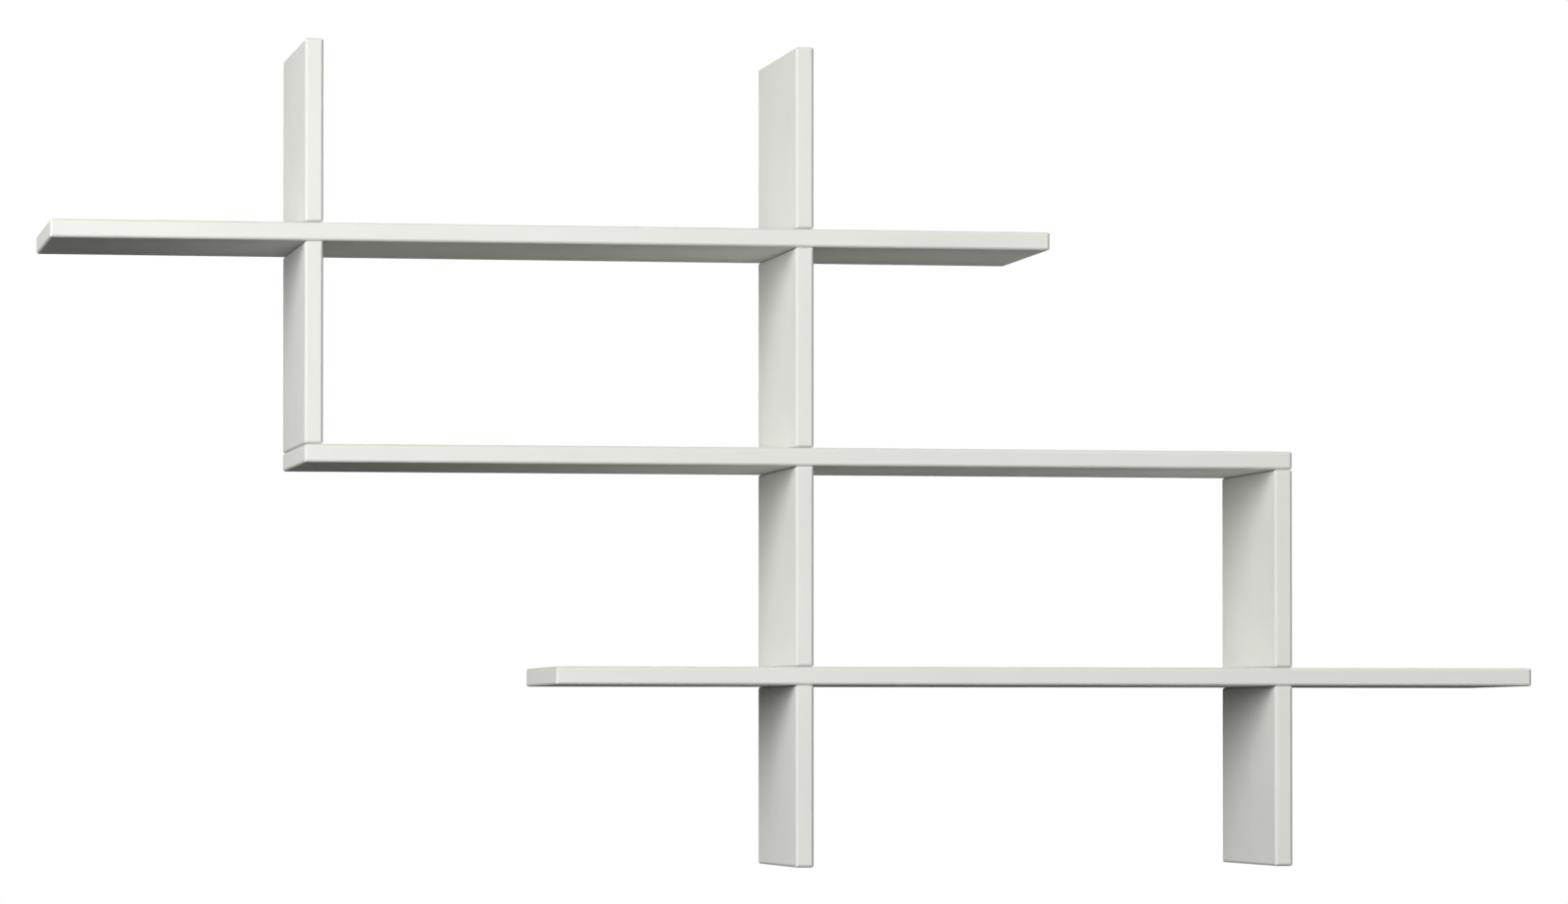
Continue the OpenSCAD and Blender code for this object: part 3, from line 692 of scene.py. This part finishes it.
def boltTree():
    tree, given = newShapeTree("cornerBolt", boltSizes)
    straight = addNode(tree, "ShaderNodeMath", {"operation": "SUBTRACT"}, {
        0: given["Shank Height"], 1: given["Shoulder"]}).outputs[0]
    shankRadius = addNode(tree, "ShaderNodeMath", {"operation": "MULTIPLY"}, {
        0: given["Shank"], 1: 0.5}).outputs[0]
    half = addNode(tree, "ShaderNodeMath", {"operation": "MULTIPLY"}, {0: straight, 1: 0.5}).outputs[0]
    bar = addNode(tree, "GeometryNodeMeshCylinder", inputs={
        "Vertices": boltSegments, "Radius": shankRadius, "Depth": straight})
    lift = addNode(tree, "ShaderNodeCombineXYZ", inputs={"Z": half})
    raised = addNode(tree, "GeometryNodeTransform", inputs={
        "Geometry": bar.outputs["Mesh"], "Translation": lift.outputs[0]})
    narrow = addNode(tree, "ShaderNodeMath", {"operation": "DIVIDE"}, {
        0: given["Shoulder"], 1: shankRadius})
    chamfer = addNode(tree, "ShaderNodeMath", {"operation": "SUBTRACT"}, {
        0: 1.0, 1: narrow.outputs[0]}).outputs[0]
    mesh, top = pushFace(tree, raised.outputs[0], bar.outputs["Top"], given["Shoulder"], chamfer)
    # the neck, from the chamfer to the middle of the ball
    thin = addNode(tree, "ShaderNodeMath", {"operation": "DIVIDE"}, {0: given["Neck"], 1: given["Shank"]})
    step = addNode(tree, "ShaderNodeMath", {"operation": "DIVIDE"}, {0: thin.outputs[0], 1: chamfer})
    mesh, top = pushFace(tree, mesh, top, 0.0, step.outputs[0])
    rest = addNode(tree, "ShaderNodeMath", {"operation": "SUBTRACT"}, {
        0: given["Ball Height"], 1: given["Shank Height"]})
    mesh = pushFace(tree, mesh, top, rest.outputs[0], 1.0)[0]
    ballRadius = addNode(tree, "ShaderNodeMath", {"operation": "MULTIPLY"}, {0: given["Ball"], 1: 0.5})
    ball = addNode(tree, "GeometryNodeMeshUVSphere", inputs={
        "Segments": boltSegments, "Rings": ballRings, "Radius": ballRadius.outputs[0]})
    atBall = addNode(tree, "ShaderNodeCombineXYZ", inputs={"Z": given["Ball Height"]})
    placed = addNode(tree, "GeometryNodeTransform", inputs={
        "Geometry": ball.outputs["Mesh"], "Translation": atBall.outputs[0]})
    shank = pointedShank(tree, given["Core"], given["Thread Length"], given["Point"], given["Overlap"])
    thread = threadRidge(tree, given["Core"], given["Thread"], given["Pitch"], given["Thread Length"],
                         given["Point"])
    whole = addNode(tree, "GeometryNodeJoinGeometry", inputs={
        "Geometry": [mesh, placed.outputs[0], shank, thread]})
    finishShapeTree(tree, given, whole.outputs[0])
    return tree


boltPlaces = [((column * pitch, row, level * rise + side * boardHalf), (0 if side > 0 else math.pi, 0, 0))
              for column, level, side in corners for row in camRows]
growPiece("cornerBolts", "corner_bolts", boltTree(), boltPlaces, boltSizes,
          steelFinish)


# Studio: two big soft boxes at the front left and a sky that glows there, weaker light from the right,
# above and behind, and a pale floor

studio = {
    "floorLevel": -1.3,
    "floorSize": 12.0,
    "floor": "F2F2F0",
    "floorGlow": 0.7,               # share of the floor's white that doesn't depend on the lamps
    "floorFade": (1.0, 3.0),        # how far out the floor starts to fade into white, and is lost in it
    "sky": 0.03,                    # light of the sky overhead; none comes from below
    "skyEdge": 0.25,                # it fades in from this far below the horizon to this far above it
    "glow": 2.5,                    # how much brighter the sky is towards glowFrom
    "glowFrom": (-0.41, -0.875, 0.26),
    "glowFocus": 12.0,              # the higher, the smaller the glow
}

# size is width and height in metres, and power is in watts; key and low point past the right end, so that
# the near end isn't lit more than the far one
softBoxes = {
    "key": {"place": (-2.63, -2.73, 0.79), "aim": (3.9, -0.1, 0), "size": (2.4, 1.8), "power": 98.0},
    "low": {"place": (-3.84, -4.68, 0.52), "aim": (3.9, -0.1, 0), "size": (4.8, 1.7), "power": 84.0},
    "side": {"place": (3.0, -3.2, 0.9), "aim": (0.6, -0.1, 0), "size": (2.0, 1.4), "power": 16.0},
    "fill": {"place": (1.84, -0.1, 2.62), "aim": (0, -0.1, 0), "size": (2.0, 2.0), "power": 38.0},
    "back": {"place": (1.6, 2.9, 0.9), "aim": (0, -0.1, 0), "size": (2.4, 0.8), "power": 34.0},
}


def lightPathWhite(tree):
    # 1 for rays that should see plain white: the camera's, and those that metal and glass pass on
    rays = addNode(tree, "ShaderNodeLightPath")
    seen = addNode(tree, "ShaderNodeMath", {"operation": "MAXIMUM"}, {
        0: rays.outputs["Is Camera Ray"], 1: rays.outputs["Is Glossy Ray"]})
    seen = addNode(tree, "ShaderNodeMath", {"operation": "MAXIMUM"}, {
        0: seen.outputs[0], 1: rays.outputs["Is Transmission Ray"]})
    return seen.outputs[0]


def makeFloor():
    half = studio["floorSize"] / 2
    level = studio["floorLevel"]
    mesh = bpy.data.meshes.new("floor")
    outline = [(-half, -half, level), (half, -half, level), (half, half, level), (-half, half, level)]
    mesh.from_pydata(outline, [], [(0, 1, 2, 3)])
    floor = addObject("floor", mesh)
    # pale paper that keeps the shadow near the object and is lost in the white further out;
    # to the light that it would send back up it is black, because the photograph's undersides are dark
    material, tree = newMaterial("paleStudioPaper")
    place = addNode(tree, "ShaderNodeTexCoord").outputs["Object"]
    flat = addNode(tree, "ShaderNodeVectorMath", {"operation": "MULTIPLY"}, {0: place, 1: (1, 1, 0)})
    away = addNode(tree, "ShaderNodeVectorMath", {"operation": "LENGTH"}, {0: flat.outputs[0]})
    fadeStart, fadeEnd = studio["floorFade"]
    lost = addNode(tree, "ShaderNodeMapRange", {"interpolation_type": "SMOOTHSTEP"}, {
        "Value": away.outputs["Value"], "From Min": fadeStart, "From Max": fadeEnd,
        "To Min": studio["floorGlow"]})
    paper = addNode(tree, "ShaderNodeBsdfDiffuse", inputs={"Color": hexToLinear(studio["floor"])})
    white = addNode(tree, "ShaderNodeEmission", inputs={"Color": (1, 1, 1, 1), "Strength": 1.0})
    seen = addNode(tree, "ShaderNodeMixShader", inputs={
        0: lost.outputs[0], 1: paper.outputs[0], 2: white.outputs[0]})
    black = addNode(tree, "ShaderNodeBsdfDiffuse", inputs={"Color": (0, 0, 0, 1)})
    both = addNode(tree, "ShaderNodeMixShader", inputs={
        0: lightPathWhite(tree), 1: black.outputs[0], 2: seen.outputs[0]})
    # open from underneath, so that the shelf can be looked at from there too
    underneath = addNode(tree, "ShaderNodeNewGeometry").outputs["Backfacing"]
    clear = addNode(tree, "ShaderNodeBsdfTransparent")
    oneSided = addNode(tree, "ShaderNodeMixShader", inputs={
        0: underneath, 1: both.outputs[0], 2: clear.outputs[0]})
    finishMaterial(tree, oneSided)
    mesh.materials.append(material)


def makeWorld():
    world = bpy.data.worlds.new("studio")
    bpy.context.scene.world = world
    world.use_nodes = True
    tree = world.node_tree
    tree.nodes.clear()
    direction = addNode(tree, "ShaderNodeTexCoord").outputs["Generated"]
    up = addNode(tree, "ShaderNodeSeparateXYZ", inputs={"Vector": direction})
    sky = addNode(tree, "ShaderNodeMapRange", inputs={
        "Value": up.outputs["Z"], "From Min": -studio["skyEdge"], "From Max": studio["skyEdge"],
        "To Max": studio["sky"]})
    towards = addNode(tree, "ShaderNodeVectorMath", {"operation": "DOT_PRODUCT"}, {
        0: direction, 1: Vector(studio["glowFrom"]).normalized()})
    facing = addNode(tree, "ShaderNodeMath", {"operation": "MAXIMUM"}, {
        0: towards.outputs["Value"], 1: 0.0})
    spot = addNode(tree, "ShaderNodeMath", {"operation": "POWER"}, {
        0: facing.outputs[0], 1: studio["glowFocus"]})
    level = addNode(tree, "ShaderNodeMath", {"operation": "MULTIPLY_ADD"}, {
        0: spot.outputs[0], 1: studio["glow"], 2: sky.outputs[0]})
    light = addNode(tree, "ShaderNodeBackground", inputs={
        "Color": (1, 1, 1, 1), "Strength": level.outputs[0]})
    white = addNode(tree, "ShaderNodeBackground", inputs={"Color": (1, 1, 1, 1), "Strength": 1.0})
    both = addNode(tree, "ShaderNodeMixShader", inputs={
        0: lightPathWhite(tree), 1: light.outputs[0], 2: white.outputs[0]})
    addNode(tree, "ShaderNodeOutputWorld", inputs={"Surface": both.outputs[0]})


def addSoftBox(name, box):
    lamp = bpy.data.lights.new(name, "AREA")
    lamp.shape = "RECTANGLE"
    lamp.size, lamp.size_y = box["size"]
    lamp.energy = box["power"]
    holder = addObject(name, lamp)
    holder.location = box["place"]
    holder.rotation_euler = (Vector(box["aim"]) - Vector(box["place"])).to_track_quat("-Z", "Y").to_euler()


makeFloor()
makeWorld()
for name, box in softBoxes.items():
    addSoftBox(name, box)

view = {
    "place": (-1.1092, -6.4686, -0.2799),
    "turn": 9.881,        # degrees to the right of straight at the wall
    "tilt": 1.2,          # degrees up
    "lens": 149.23,
    "sensor": 36,
    "shift": 0.09897,     # of the lens upwards, so that the uprights stay nearly vertical
}
camera = addObject("camera", bpy.data.cameras.new("camera"))
camera.data.sensor_fit = "HORIZONTAL"
camera.data.sensor_width = view["sensor"]
camera.data.lens = view["lens"]
camera.data.shift_y = view["shift"]
camera.location = view["place"]
camera.rotation_euler = (math.radians(90 + view["tilt"]), 0, -math.radians(view["turn"]))
bpy.context.scene.camera = camera
bpy.context.scene.view_settings.view_transform = "Standard"
print("studio and camera done")
